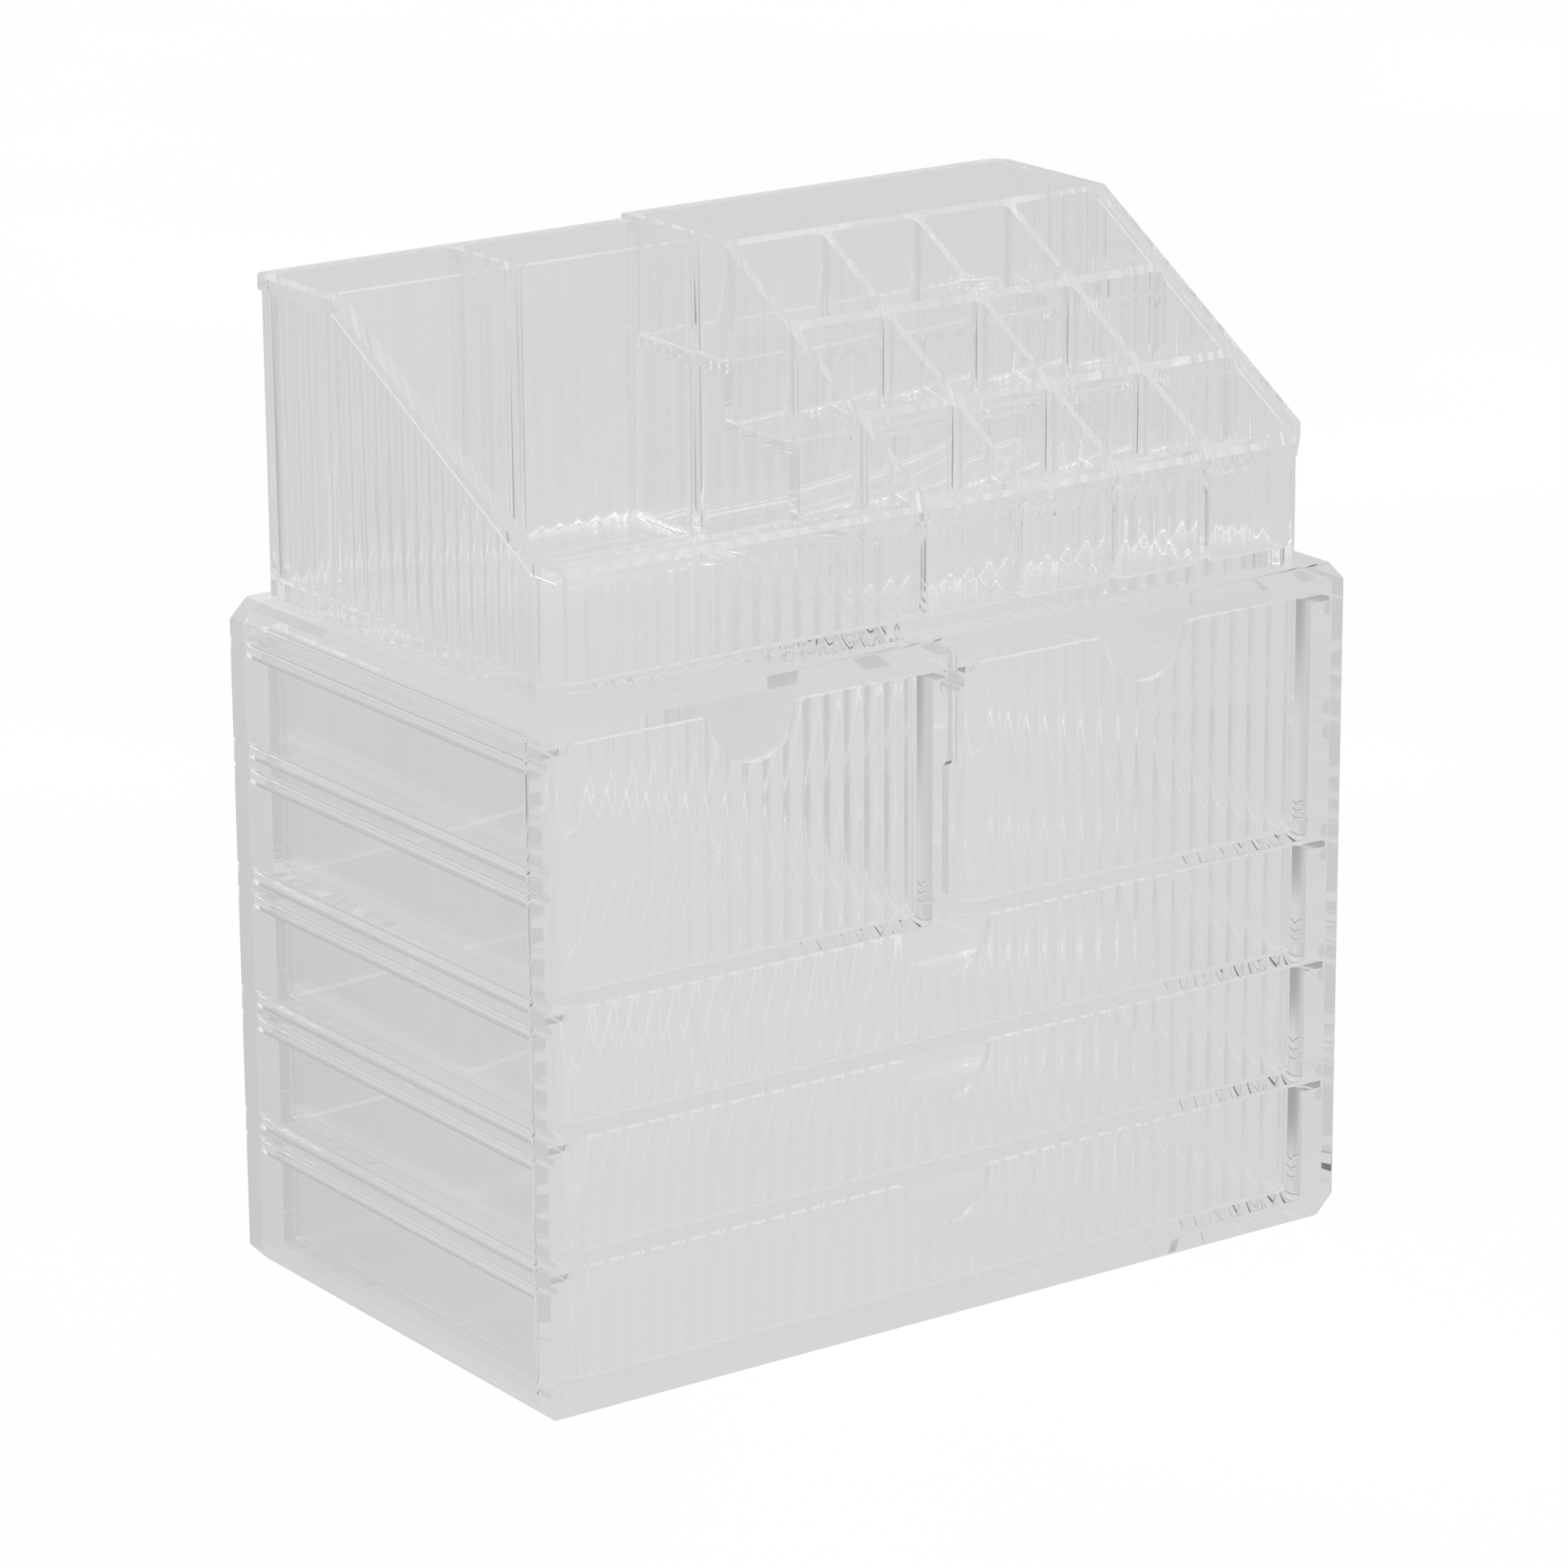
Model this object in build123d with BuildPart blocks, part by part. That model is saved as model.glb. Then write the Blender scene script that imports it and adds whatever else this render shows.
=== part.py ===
from build123d import *
import math
import os

os.makedirs("parts", exist_ok=True)

# All sizes are in millimetres. +X runs to the right, +Y to the back, +Z up.
# The origin lies on the table, under the middle of the drawer case.

# Drawer case
case_width = 240.0
case_depth = 130.8
case_wall = 4.0
case_back_wall = 3.5
case_corner_cut = 5.0
case_edge_round = 1.6
case_rim_round = 0.8
opening_corner_cut = 1.5
head_room = 3.5

# Drawer levels: five equal levels, the two upper ones taken by the tall drawers
wide_drawer_count = 3
tall_drawer_levels = 2
drawer_height = 31.0
drawer_gap = 0.7
floor_gap = 1.0

# Runner ribs on the case walls and the drawer flanges that hang on them
rib_height = 3.5
rib_reach = 2.2
rib_tip_round = 1.6
rib_front_inset = 0.4
flange_thickness = 1.8
flange_side_clearance = 0.4
flange_seat_clearance = 0.25
flange_top_clearance = 0.75

# Drawers
drawer_side_gap = 5.0
drawer_front_inset = 0.5
drawer_back_gap = 0.7
drawer_wall = 2.5
drawer_floor = 2.5
drawer_outer_corner = 2.0
drawer_bottom_round = 1.2
drawer_inner_corner = 5.0
drawer_inner_round = 1.8
drawer_rim_round = 0.5

# Half-round finger notch in each drawer front
notch_radius = 12.2
notch_depth = 13.0
notch_edge_round = 2.2
tall_notch_shift = 1.5

# Vertical flutes: shallow hollows side by side
flute_pitch = 5.8
flute_width = 5.2
flute_depth = 0.5
drawer_flute_margin = 2.5
tray_flute_margin = 8.5

# Centre divider between the two tall drawers
divider_gap = 8.8
divider_thickness = 2.0
divider_slot_depth = 1.2
divider_front_inset = 3.0
divider_tab_thickness = 2.8
divider_tab_height = 28.5
divider_tab_depth = 9.0
divider_tab_round = 4.0
divider_tab_inset = 0.2
divider_ledge_width = 7.2
divider_flange_clearance = 0.3
divider_clearance = 0.1

# Upper tray
tray_width = 222.0
tray_front_inset = 3.6
tray_back_inset = 1.4
tray_corner_cut = 5.2
tray_back_corner = 4.5
tray_outer_wall = 3.0
tray_wall = 2.4
tray_floor = 3.45
tray_rim_reach = 1.0
tray_rim_height = 3.2
tray_seat_gap = 0.15
tray_left_height = 78.85
tray_right_height = 80.15
tray_front_height = 30.45
tray_left_shelf = 36.2
tray_right_shelf = 42.5
middle_wall_x = -4.0
deep_bay_depth = 26.5
deep_bay_split_x = -56.6
bay_corner = 3.0
bay_floor_round = 2.0

# Small cells: rows from the front to the back, each floor a step higher
cell_columns = 4
cell_divider = 2.0
cell_corner = 2.0
cell_floor_round = 1.5
cell_row_depths = (23.6, 25.8, 24.4)
cell_floor_steps = (0.0, 13.9, 31.4)
back_bay_floor_step = 45.9
raised_floor_thickness = 2.2

# Places that follow from the sizes above
level_pitch = drawer_height + drawer_gap
level_count = wide_drawer_count + tall_drawer_levels
first_drawer_z = case_wall + floor_gap
case_height = first_drawer_z + level_count * level_pitch + head_room + case_wall
case_front = -case_depth / 2
case_back = case_depth / 2
opening_width = case_width - 2 * case_wall
opening_top = case_height - case_wall
inner_back = case_back - case_back_wall
drawer_front = case_front + drawer_front_inset
drawer_back = inner_back - drawer_back_gap
drawer_side_x = opening_width / 2 - drawer_side_gap
flange_side_x = opening_width / 2 - flange_side_clearance
tall_drawer_inner_x = divider_gap / 2
tall_flange_inner_x = divider_tab_thickness / 2 + divider_flange_clearance
tray_front = case_front + tray_front_inset
tray_back = case_back - tray_back_inset
tray_side_x = tray_width / 2
tray_inner_x = tray_side_x - tray_outer_wall
tray_inner_front = tray_front + tray_outer_wall
tray_inner_back = tray_back - tray_outer_wall
tray_base_z = case_height + tray_seat_gap
tray_floor_z = tray_base_z + tray_floor
above_tray_z = tray_base_z + tray_right_height + tray_wall
middle_wall_left = middle_wall_x - tray_wall / 2
middle_wall_right = middle_wall_x + tray_wall / 2
flute_radius = (flute_width**2 / 4 + flute_depth**2) / (2 * flute_depth)
front_plane = Plane.XZ.offset(-case_front)


def level_bottom(level):
    """Underside of a drawer that stands in this level, counted from 0."""
    return first_drawer_z + level * level_pitch


def rib_seat(level):
    """Top of the rib that carries the flange of the drawer in this level."""
    drawer_top = level_bottom(level) + drawer_height
    return drawer_top - flange_thickness - flange_seat_clearance


def flute_places(start, end):
    """Middles of as many flutes as fit between two ends, centred between them."""
    count = int((end - start) // flute_pitch)
    first = (start + end) / 2 - (count - 1) * flute_pitch / 2
    return [first + number * flute_pitch for number in range(count)]


def hollow(x_range, y_range, z_range, corner, floor_round):
    """A rounded box standing on its floor: the space that a drawer or a cell leaves free."""
    middle = (sum(x_range) / 2, sum(y_range) / 2)
    with BuildPart() as space:
        with BuildSketch(Plane.XY.offset(z_range[0])):
            with Locations(middle):
                RectangleRounded(x_range[1] - x_range[0], y_range[1] - y_range[0], corner)
        extrude(amount=z_range[1] - z_range[0])
        fillet(space.edges().group_by(Axis.Z)[0], floor_round)
    return space.part


def divider_plate(clearance):
    """The divider's plate, let into the roof and the back wall, or with clearance its slot."""
    plate_front = case_front + divider_front_inset - clearance
    plate_back = inner_back + divider_slot_depth + clearance
    plate_low = level_bottom(wide_drawer_count)
    plate_high = opening_top + divider_slot_depth + clearance
    with BuildPart() as plate:
        with BuildSketch(Plane.YZ.offset(-divider_thickness / 2 - clearance)):
            with Locations(((plate_front + plate_back) / 2, (plate_low + plate_high) / 2)):
                Rectangle(plate_back - plate_front, plate_high - plate_low)
        extrude(amount=divider_thickness + 2 * clearance)
    return plate.part


def rib_places():
    """Middles of the runner ribs: one under each flange and one above all but the top one."""
    heights = [rib_seat(level) - rib_height / 2 for level in range(level_count)]
    for level in range(level_count - 1):
        channel_top = level_bottom(level) + drawer_height + flange_top_clearance
        heights.append(channel_top + rib_height / 2)
    return [(side * opening_width / 2, height) for side in (-1, 1) for height in heights]


def build_case():
    """One clear moulding, open at the front, with runner ribs on both side walls."""
    divider_slot = divider_plate(divider_clearance)
    with BuildPart() as case:
        with BuildSketch(front_plane) as outline:
            Rectangle(case_width, case_height, align=(Align.CENTER, Align.MIN))
            chamfer(outline.vertices(), case_corner_cut)
        extrude(amount=-case_depth)
        fillet(case.edges().filter_by(Axis.Y), case_edge_round)
        fillet(case.faces().sort_by(Axis.Y)[0].outer_wire().edges(), case_rim_round)
        with BuildSketch(front_plane) as opening:
            with Locations((0, case_wall)):
                Rectangle(opening_width, opening_top - case_wall, align=(Align.CENTER, Align.MIN))
            chamfer(opening.vertices(), opening_corner_cut)
        extrude(amount=-(case_depth - case_back_wall), mode=Mode.SUBTRACT)
        with BuildSketch(front_plane.offset(-rib_front_inset)):
            with Locations(*rib_places()):
                RectangleRounded(2 * rib_reach, rib_height, rib_tip_round)
        extrude(amount=-(case_depth - case_back_wall / 2 - rib_front_inset))
        add(divider_slot, mode=Mode.SUBTRACT)
    case.part.label = "drawer_case"
    export_step(case.part, "parts/drawer_case.step")


def build_divider():
    """Thin plate hanging from the roof, with a ledge on each side and a front tab."""
    ledge_z = rib_seat(level_count - 1) - rib_height / 2
    plate = divider_plate(0)
    with BuildPart() as divider:
        add(plate)
        with BuildSketch(front_plane.offset(-rib_front_inset)):
            with Locations((0, ledge_z)):
                RectangleRounded(divider_ledge_width, rib_height, rib_tip_round)
        extrude(amount=-(inner_back - divider_clearance - case_front - rib_front_inset))
        with BuildSketch(Plane.YZ.offset(-divider_tab_thickness / 2)) as tab:
            with Locations((case_front + divider_tab_inset, opening_top - divider_clearance)):
                Rectangle(divider_tab_depth, divider_tab_height, align=(Align.MIN, Align.MAX))
            fillet(tab.vertices().group_by(Axis.Y)[0], divider_tab_round)
        extrude(amount=divider_tab_thickness)
    divider.part.label = "centre_divider"
    export_step(divider.part, "parts/centre_divider.step")


def build_drawer(name, side_range, flange_range, z_range, notch_x):
    """Open drawer with a fluted front, a finger notch and a flange along each side."""
    x_low, x_high = side_range
    bottom, top = z_range
    middle_y = (drawer_front + drawer_back) / 2
    depth = drawer_back - drawer_front
    inside = hollow(
        (x_low + drawer_wall, x_high - drawer_wall),
        (drawer_front + drawer_wall, drawer_back - drawer_wall),
        (bottom + drawer_floor, top + drawer_wall),
        drawer_inner_corner, drawer_inner_round)
    with BuildPart() as drawer:
        with BuildSketch(Plane.XY.offset(bottom)):
            with Locations((sum(side_range) / 2, middle_y)):
                RectangleRounded(x_high - x_low, depth, drawer_outer_corner)
        extrude(amount=top - bottom)
        fillet(drawer.edges().group_by(Axis.Z)[0], drawer_bottom_round)
        with BuildSketch(Plane.XY.offset(top - flange_thickness)):
            with Locations((sum(flange_range) / 2, middle_y)):
                Rectangle(flange_range[1] - flange_range[0], depth)
        extrude(amount=flange_thickness)
        add(inside, mode=Mode.SUBTRACT)
        fillet(drawer.faces().sort_by(Axis.Z)[-1].inner_wires()[0].edges(), drawer_rim_round)
        with BuildSketch(Plane.XY.offset(bottom)):
            places = flute_places(x_low + drawer_flute_margin, x_high - drawer_flute_margin)
            with Locations(*[(x, drawer_front + flute_depth - flute_radius) for x in places]):
                Circle(flute_radius)
        extrude(amount=top - bottom, mode=Mode.SUBTRACT)
        with BuildSketch(front_plane) as notch:
            with Locations((notch_x, top - notch_depth + notch_radius)):
                Circle(notch_radius)
            with Locations((notch_x, top)):
                Rectangle(3 * notch_radius, 2 * notch_radius, align=(Align.CENTER, Align.MIN))
            rim_points = notch.vertices().group_by(Axis.Y)[0]
            fillet(rim_points.sort_by(lambda point: abs(point.X - notch_x))[:2], notch_edge_round)
        extrude(amount=-(drawer_front_inset + 2 * drawer_wall), mode=Mode.SUBTRACT)
    drawer.part.label = name
    export_step(drawer.part, f"parts/{name}.step")


def build_drawers():
    """The wide drawers from the bottom up, and the two tall ones above them side by side."""
    for level in range(wide_drawer_count):
        bottom = level_bottom(level)
        build_drawer(
            f"wide_drawer_{level + 1}", (-drawer_side_x, drawer_side_x),
            (-flange_side_x, flange_side_x), (bottom, bottom + drawer_height), 0)
    bottom = level_bottom(wide_drawer_count)
    top = level_bottom(level_count - 1) + drawer_height
    for name, side in (("tall_drawer_left", -1), ("tall_drawer_right", 1)):
        sides = sorted((side * tall_drawer_inner_x, side * drawer_side_x))
        flanges = sorted((side * tall_flange_inner_x, side * flange_side_x))
        build_drawer(name, sides, flanges, (bottom, top), sum(sides) / 2 + tall_notch_shift)


def tray_plan(reach):
    """Plan of the tray, grown evenly by reach: front corners cut off, back corners round."""
    with BuildSketch(Plane.XY.offset(tray_base_z)) as plan:
        with Locations((0, (tray_front + tray_back) / 2)):
            Rectangle(tray_width + 2 * reach, tray_back - tray_front + 2 * reach)
        chamfer(plan.vertices().group_by(Axis.Y)[0], tray_corner_cut + reach * (2 - math.sqrt(2)))
        fillet(plan.vertices().group_by(Axis.Y)[-1], tray_back_corner + reach)
    return plan.sketch


def tray_flute_centres():
    """Middles of the circles that hollow out the flutes on all four sides of the tray."""
    outside = flute_radius - flute_depth
    across = flute_places(tray_flute_margin - tray_side_x, tray_side_x - tray_flute_margin)
    along = flute_places(tray_front + tray_flute_margin, tray_back - tray_flute_margin)
    centres = [(x, y) for x in across for y in (tray_front - outside, tray_back + outside)]
    centres += [(side * (tray_side_x + outside), y) for side in (-1, 1) for y in along]
    return centres


def tray_envelope(drop):
    """Space under the tray's top line, lowered by drop: level at the back, then a fall."""
    front = tray_front - tray_rim_reach
    back = tray_back + tray_rim_reach
    halves = (
        (-case_width / 2, middle_wall_left, tray_left_height, tray_left_shelf),
        (middle_wall_left, case_width / 2, tray_right_height, tray_right_shelf),
    )
    with BuildPart() as envelope:
        for x_low, x_high, height, shelf in halves:
            with BuildSketch(Plane.YZ.offset(x_low)):
                with BuildLine():
                    Polyline(
                        (front, tray_base_z), (back, tray_base_z),
                        (back, tray_base_z + height - drop),
                        (tray_back - shelf, tray_base_z + height - drop),
                        (front, tray_base_z + tray_front_height - drop), close=True)
                make_face()
            extrude(amount=x_high - x_low)
    return envelope.part


def cell_rows():
    """Front, back and floor height of each row of small cells, from the front."""
    rows = []
    row_front = tray_inner_front
    for depth, step in zip(cell_row_depths, cell_floor_steps):
        rows.append((row_front, row_front + depth, tray_floor_z + step))
        row_front += depth + tray_wall
    return rows


def cell_column_ranges():
    """Left and right of each column of small cells."""
    free_width = tray_inner_x - middle_wall_right - (cell_columns - 1) * cell_divider
    cell_width = free_width / cell_columns
    lefts = [middle_wall_right + number * (cell_width + cell_divider) for number in range(cell_columns)]
    return [(left, left + cell_width) for left in lefts]


def tray_hollows():
    """Two deep bays, the open bin before them, the small cells and the bay behind these.

    All of them keep a wall's thickness inside the tray's plan, also at its corners.
    """
    deep_bay_front = tray_inner_back - deep_bay_depth
    split_left = deep_bay_split_x - tray_wall / 2
    split_right = deep_bay_split_x + tray_wall / 2
    inner_z = (tray_floor_z, above_tray_z)
    hollows = []
    for x_range in ((-tray_inner_x, split_left), (split_right, middle_wall_left)):
        y_range = (deep_bay_front, tray_inner_back)
        hollows.append(hollow(x_range, y_range, inner_z, bay_corner, bay_floor_round))
    bin_x = (-tray_inner_x, middle_wall_left)
    bin_y = (tray_inner_front, deep_bay_front - tray_wall)
    hollows.append(hollow(bin_x, bin_y, inner_z, bay_corner, bay_floor_round))
    rows = cell_rows()
    for row_front, row_back, floor_z in rows:
        for x_range in cell_column_ranges():
            y_range = (row_front, row_back)
            z_range = (floor_z, above_tray_z)
            hollows.append(hollow(x_range, y_range, z_range, cell_corner, cell_floor_round))
    back_y = (rows[-1][1] + tray_wall, tray_inner_back)
    back_z = (tray_floor_z + back_bay_floor_step, above_tray_z)
    back_x = (middle_wall_right, tray_inner_x)
    hollows.append(hollow(back_x, back_y, back_z, bay_corner, bay_floor_round))
    inner_plan = tray_plan(-tray_outer_wall)
    with BuildPart() as spaces:
        for space in hollows:
            add(space)
        extrude(inner_plan, amount=above_tray_z - tray_base_z, mode=Mode.INTERSECT)
    return spaces.part


def space_under_steps():
    """The space that the raised floors leave underneath, open at the bottom."""
    rows = cell_rows()
    steps = [(row_front, floor_z) for row_front, row_back, floor_z in rows[1:]]
    steps.append((rows[-1][1] + tray_wall, tray_floor_z + back_bay_floor_step))
    with BuildPart() as space:
        with BuildSketch(Plane.YZ.offset(middle_wall_right)):
            for step_front, floor_z in steps:
                with Locations((step_front, tray_base_z)):
                    Rectangle(
                        tray_inner_back - step_front, floor_z - raised_floor_thickness - tray_base_z,
                        align=(Align.MIN, Align.MIN))
        extrude(amount=tray_inner_x - middle_wall_right)
    return space.part


def build_tray():
    """One clear moulding: bays, bin and cells under one sloping top line."""
    top_line = tray_envelope(0)
    below_rim = tray_envelope(tray_rim_height)
    wide_plan = tray_plan(tray_rim_reach)
    plan = tray_plan(0)
    underneath = space_under_steps()
    hollows = tray_hollows()
    with BuildPart() as rim:
        extrude(wide_plan, amount=tray_right_height)
        add(top_line, mode=Mode.INTERSECT)
        add(below_rim, mode=Mode.SUBTRACT)
    with BuildPart() as tray:
        extrude(plan, amount=tray_right_height)
        with BuildSketch(Plane.XY.offset(tray_base_z)):
            with Locations(*tray_flute_centres()):
                Circle(flute_radius)
        extrude(amount=tray_right_height, mode=Mode.SUBTRACT)
        add(below_rim, mode=Mode.INTERSECT)
        add(rim.part)
        add(underneath, mode=Mode.SUBTRACT)
        add(hollows, mode=Mode.SUBTRACT)
    tray.part.label = "upper_tray"
    export_step(tray.part, "parts/upper_tray.step")


build_case()
build_divider()
build_drawers()
build_tray()
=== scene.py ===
import math
import bpy
from mathutils import Matrix, Vector

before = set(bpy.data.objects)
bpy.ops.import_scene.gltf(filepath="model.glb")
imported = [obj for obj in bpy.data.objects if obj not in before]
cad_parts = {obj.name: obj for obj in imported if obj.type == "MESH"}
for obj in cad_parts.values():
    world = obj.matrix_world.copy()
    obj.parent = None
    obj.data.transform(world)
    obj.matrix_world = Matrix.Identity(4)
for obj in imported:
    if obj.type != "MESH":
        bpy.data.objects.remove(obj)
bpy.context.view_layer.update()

# Camera: place and range in metres, angles in degrees, sensor in millimetres, image and
# focal length in pixels
CAMERA_PLACE = (-0.86749, -1.23016, 0.57455)
CAMERA_AZIMUTH = -35.1
CAMERA_ELEVATION = 16.846
CAMERA_ROLL = -0.383
SENSOR_WIDTH = 36.0
IMAGE_SIZE = 1932
FOCAL_PIXELS = 7891.64
FARTHEST_SEEN = 50.0

# Clear moulded plastic, with faint stress colours, a little haze and slow flow ripples.
# Sizes, distances and heights are in metres.
PLASTIC_IOR = 1.49
SMOOTH_UP_TO = math.radians(28)
WELD_DISTANCE = 1e-6
STRESS_TINTS = (
    (0.30, (0.9985, 0.9955, 1.0000)),
    (0.42, (0.9955, 0.9970, 1.0000)),
    (0.50, (0.9980, 0.9980, 0.9990)),
    (0.58, (1.0000, 0.9980, 0.9955)),
    (0.70, (0.9990, 0.9950, 1.0000)),
)
STRESS_SIZE = 0.03
HAZE_SIZE = 0.016
HAZE_FROM = 0.35
HAZE_TO = 0.75
HAZE_GAIN = 2.5
RIPPLE_HEIGHT = 0.00002
CASE_ROUGHNESS = 0.010
CASE_RIPPLE_SIZE = 0.09
CASE_NODES = ("drawer_case", "centre_divider")
INSERT_ROUGHNESS = 0.012
INSERT_RIPPLE_SIZE = 0.07
TRAY_NODE = "upper_tray"

# Light paths: inside a clear wall a ray is followed for a few reflections and then
# taken to have left it for the studio
MOST_BOUNCES = 32
MOST_GLOSSY_BOUNCES = 24
REFLECTIONS_FOLLOWED = 6
SHADE_REACH = 0.0001
NOISE_ALLOWED = 0.02

# Floor: it lies a hair below the case, so that no two faces coincide
FLOOR_SIZE = 12.0
FLOOR_DROP = 0.0004
FLOOR_ROUGHNESS = 0.9
FLOOR_GRAIN = 3.0
FLOOR_TONES = ((0.3, (0.33, 0.33, 0.33)), (0.7, (0.35, 0.35, 0.35)))
FLOOR_GLOW = 0.72

# Studio: what the camera sees past the object, and what the object sees from the
# front to the back, as (place, colour)
BACKDROP = (1.0, 1.0, 1.0)
SURROUND = (
    (0.15, (0.85, 0.85, 0.855)),      # in front
    (0.50, (0.70, 0.70, 0.705)),      # beside
    (0.75, (0.662, 0.662, 0.668)),    # behind
)

# Soft panels round the object: direction, half angle of the even part, half angle at
# the outer edge, brightness
PANELS = (
    ((0.95, -0.25, -0.1), 25, 50, 0.61),     # grey card on the right
    ((-0.2, 0.95, -0.15), 8, 18, 0.58),      # grey stand behind
    ((-0.42, 0.85, -0.34), 3, 8, 0.36),      # darker card behind, low on the left
    ((-0.42, 0.88, 0.2), 4, 11, 0.14),       # dark card behind, higher up
    ((0.0, 0.0, 1.0), 25, 60, 0.83),         # ceiling
    ((-0.35, -0.75, 0.55), 14, 30, 1.2),     # soft box in front, high on the left
)


def linear_ramp(nodes, stops):
    """A colour ramp with one (place, colour) for each stop."""
    ramp = nodes.new("ShaderNodeValToRGB")
    elements = ramp.color_ramp.elements
    while len(elements) < len(stops):
        elements.new(0.5)
    for element, (place, colour) in zip(elements, stops):
        element.position = place
        element.color = (*colour, 1.0)
    return ramp


def noise(nodes, links, place, size):
    """Smooth noise whose spots are about as large as the given size, in metres."""
    pattern = nodes.new("ShaderNodeTexNoise")
    pattern.inputs["Scale"].default_value = 1.0 / size
    pattern.inputs["Detail"].default_value = 0.0
    links.new(place, pattern.inputs["Vector"])
    return pattern.outputs["Fac"]


def clear_plastic(name, roughness, ripple_size):
    """Transparent moulded plastic with stress colours, handling haze and flow ripples."""
    material = bpy.data.materials.new(name)
    material.use_nodes = True
    nodes = material.node_tree.nodes
    links = material.node_tree.links
    shader = nodes["Principled BSDF"]
    shader.inputs["IOR"].default_value = PLASTIC_IOR
    shader.inputs["Transmission Weight"].default_value = 1.0
    place = nodes.new("ShaderNodeTexCoord").outputs["Object"]
    tint = linear_ramp(nodes, STRESS_TINTS)
    links.new(noise(nodes, links, place, STRESS_SIZE), tint.inputs["Fac"])
    links.new(tint.outputs["Color"], shader.inputs["Base Color"])
    haze = nodes.new("ShaderNodeMapRange")
    haze.inputs["From Min"].default_value = HAZE_FROM
    haze.inputs["From Max"].default_value = HAZE_TO
    haze.inputs["To Min"].default_value = roughness
    haze.inputs["To Max"].default_value = roughness * HAZE_GAIN
    links.new(noise(nodes, links, place, HAZE_SIZE), haze.inputs["Value"])
    links.new(haze.outputs["Result"], shader.inputs["Roughness"])
    ripples = nodes.new("ShaderNodeBump")
    ripples.inputs["Distance"].default_value = RIPPLE_HEIGHT
    links.new(noise(nodes, links, place, ripple_size), ripples.inputs["Height"])
    links.new(ripples.outputs["Normal"], shader.inputs["Normal"])
    return material


def smoothing_group():
    """Geometry nodes that shade curved faces smooth and keep the moulded edges crisp."""
    group = bpy.data.node_groups.new("crisp_moulding", "GeometryNodeTree")
    group.interface.new_socket("Geometry", in_out="INPUT", socket_type="NodeSocketGeometry")
    group.interface.new_socket("Geometry", in_out="OUTPUT", socket_type="NodeSocketGeometry")
    nodes = group.nodes
    links = group.links
    start = nodes.new("NodeGroupInput")
    end = nodes.new("NodeGroupOutput")
    angle = nodes.new("GeometryNodeInputMeshEdgeAngle")
    gentle = nodes.new("FunctionNodeCompare")
    gentle.data_type = "FLOAT"
    gentle.operation = "LESS_EQUAL"
    gentle.inputs["B"].default_value = SMOOTH_UP_TO
    links.new(angle.outputs["Unsigned Angle"], gentle.inputs["A"])
    faces = nodes.new("GeometryNodeSetShadeSmooth")
    faces.domain = "FACE"
    edges = nodes.new("GeometryNodeSetShadeSmooth")
    edges.domain = "EDGE"
    links.new(start.outputs["Geometry"], faces.inputs["Geometry"])
    links.new(faces.outputs["Geometry"], edges.inputs["Geometry"])
    links.new(gentle.outputs["Result"], edges.inputs["Shade Smooth"])
    links.new(edges.outputs["Geometry"], end.inputs["Geometry"])
    return group


def dress(node, material, group):
    """Gives a CAD node its finished material and its shading."""
    node.data.materials.clear()
    node.data.materials.append(material)
    node.visible_diffuse = False
    node.visible_shadow = False
    weld = node.modifiers.new("weld", "WELD")
    weld.merge_threshold = WELD_DISTANCE
    smooth = node.modifiers.new("crisp_moulding", "NODES")
    smooth.node_group = group


def make_floor():
    """Plain pale table top, which is left out of what the clear walls show."""
    half = FLOOR_SIZE / 2
    mesh = bpy.data.meshes.new("floor")
    corners = [(-half, -half), (half, -half), (half, half), (-half, half)]
    mesh.from_pydata([(x, y, -FLOOR_DROP) for x, y in corners], [], [(0, 1, 2, 3)])
    floor = bpy.data.objects.new("floor", mesh)
    bpy.context.scene.collection.objects.link(floor)
    material = bpy.data.materials.new("floor_pale")
    material.use_nodes = True
    nodes = material.node_tree.nodes
    links = material.node_tree.links
    shader = nodes["Principled BSDF"]
    shader.inputs["Roughness"].default_value = FLOOR_ROUGHNESS
    shader.inputs["Specular IOR Level"].default_value = 0.0
    place = nodes.new("ShaderNodeTexCoord")
    grain = nodes.new("ShaderNodeTexNoise")
    grain.inputs["Scale"].default_value = FLOOR_GRAIN
    links.new(place.outputs["Object"], grain.inputs["Vector"])
    tone = linear_ramp(nodes, FLOOR_TONES)
    links.new(grain.outputs["Fac"], tone.inputs["Fac"])
    links.new(tone.outputs["Color"], shader.inputs["Base Color"])
    shader.inputs["Emission Color"].default_value = (1.0, 1.0, 1.0, 1.0)
    shader.inputs["Emission Strength"].default_value = FLOOR_GLOW
    mesh.materials.append(material)
    floor.visible_transmission = False
    floor.visible_glossy = False


def mixed(nodes, links, share, under, colour):
    """The light below, with this share of it replaced by one colour."""
    mix = nodes.new("ShaderNodeMix")
    mix.data_type = "RGBA"
    links.new(share, mix.inputs["Factor"])
    links.new(under, mix.inputs["A"])
    mix.inputs["B"].default_value = (*colour, 1.0)
    return mix.outputs["Result"]


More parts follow.
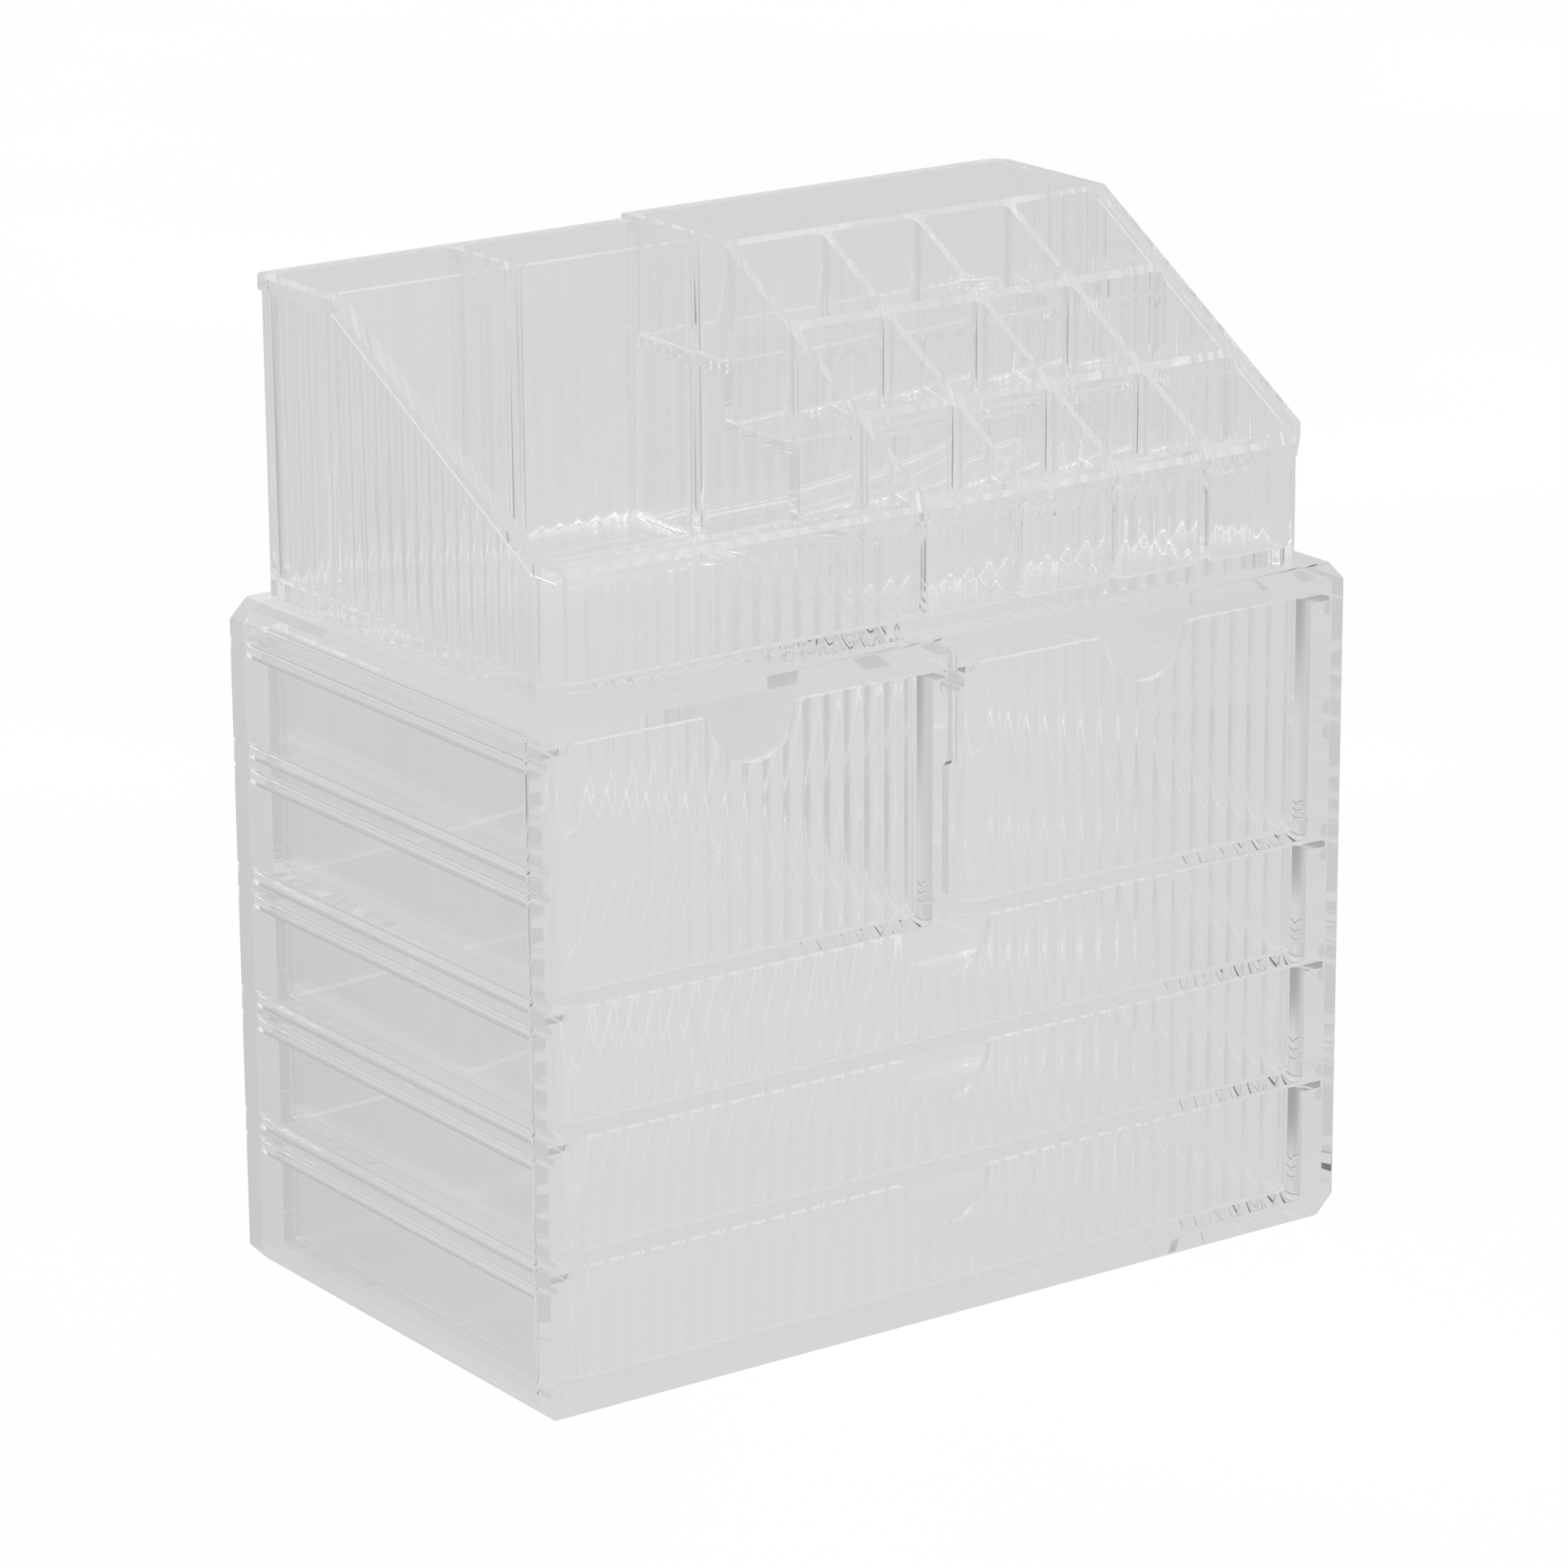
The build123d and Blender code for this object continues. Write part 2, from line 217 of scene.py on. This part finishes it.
def soft_panel(nodes, links, direction, under, panel):
    """Lays a round, soft-edged panel over the light that comes from behind it."""
    centre, even_angle, edge_angle, brightness = panel
    closeness = nodes.new("ShaderNodeVectorMath")
    closeness.operation = "DOT_PRODUCT"
    closeness.inputs[1].default_value = Vector(centre).normalized()
    links.new(direction, closeness.inputs[0])
    edge = nodes.new("ShaderNodeMapRange")
    edge.interpolation_type = "SMOOTHSTEP"
    edge.inputs["From Min"].default_value = math.cos(math.radians(edge_angle))
    edge.inputs["From Max"].default_value = math.cos(math.radians(even_angle))
    links.new(closeness.outputs["Value"], edge.inputs["Value"])
    colour = (brightness, brightness, brightness)
    return mixed(nodes, links, edge.outputs["Result"], under, colour)


def make_world():
    """Soft studio surround: grey behind the object, lighter in front, with a few soft panels."""
    world = bpy.data.worlds.new("studio")
    bpy.context.scene.world = world
    world.use_nodes = True
    nodes = world.node_tree.nodes
    links = world.node_tree.links
    place = nodes.new("ShaderNodeTexCoord")
    direction = place.outputs["Generated"]
    split = nodes.new("ShaderNodeSeparateXYZ")
    links.new(direction, split.inputs["Vector"])
    towards_back = nodes.new("ShaderNodeMapRange")
    towards_back.inputs["From Min"].default_value = -1.0
    towards_back.inputs["From Max"].default_value = 1.0
    links.new(split.outputs["Y"], towards_back.inputs["Value"])
    surround = linear_ramp(nodes, SURROUND)
    links.new(towards_back.outputs["Result"], surround.inputs["Fac"])
    light = surround.outputs["Color"]
    for panel in PANELS:
        light = soft_panel(nodes, links, direction, light, panel)
    sight = nodes.new("ShaderNodeLightPath")
    light = mixed(nodes, links, sight.outputs["Is Camera Ray"], light, BACKDROP)
    links.new(light, nodes["Background"].inputs["Color"])


def make_camera():
    """Camera at the photograph's viewing angle."""
    azimuth = math.radians(CAMERA_AZIMUTH)
    elevation = math.radians(CAMERA_ELEVATION)
    roll = math.radians(CAMERA_ROLL)
    back = Vector((
        math.sin(azimuth) * math.cos(elevation),
        -math.cos(azimuth) * math.cos(elevation),
        math.sin(elevation)))
    level = Vector((0, 0, 1)).cross(back).normalized()
    upright = back.cross(level)
    right = level * math.cos(roll) + upright * math.sin(roll)
    up = upright * math.cos(roll) - level * math.sin(roll)
    data = bpy.data.cameras.new("camera")
    data.sensor_fit = "HORIZONTAL"
    data.sensor_width = SENSOR_WIDTH
    data.lens = SENSOR_WIDTH * FOCAL_PIXELS / IMAGE_SIZE
    data.clip_end = FARTHEST_SEEN
    camera = bpy.data.objects.new("camera", data)
    bpy.context.scene.collection.objects.link(camera)
    turn = Matrix((right, up, back)).transposed().to_4x4()
    camera.matrix_world = Matrix.Translation(CAMERA_PLACE) @ turn
    bpy.context.scene.camera = camera


def set_light_paths():
    """Enough bounces for many clear walls one behind another."""
    cycles = bpy.context.scene.cycles
    cycles.max_bounces = MOST_BOUNCES
    cycles.transmission_bounces = MOST_BOUNCES
    cycles.glossy_bounces = MOST_GLOSSY_BOUNCES
    cycles.use_fast_gi = True
    cycles.fast_gi_method = "REPLACE"
    cycles.ao_bounces_render = REFLECTIONS_FOLLOWED
    bpy.context.scene.world.light_settings.distance = SHADE_REACH
    cycles.adaptive_threshold = NOISE_ALLOWED
    cycles.use_denoising = True
    bpy.context.scene.view_settings.view_transform = "Standard"


case_plastic = clear_plastic("case_clear", CASE_ROUGHNESS, CASE_RIPPLE_SIZE)
drawer_plastic = clear_plastic("drawer_clear", INSERT_ROUGHNESS, INSERT_RIPPLE_SIZE)
tray_plastic = clear_plastic("tray_clear", INSERT_ROUGHNESS, INSERT_RIPPLE_SIZE)
crisp_moulding = smoothing_group()
for name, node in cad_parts.items():
    if name in CASE_NODES:
        dress(node, case_plastic, crisp_moulding)
    elif name == TRAY_NODE:
        dress(node, tray_plastic, crisp_moulding)
    else:
        dress(node, drawer_plastic, crisp_moulding)
make_floor()
make_world()
make_camera()
set_light_paths()
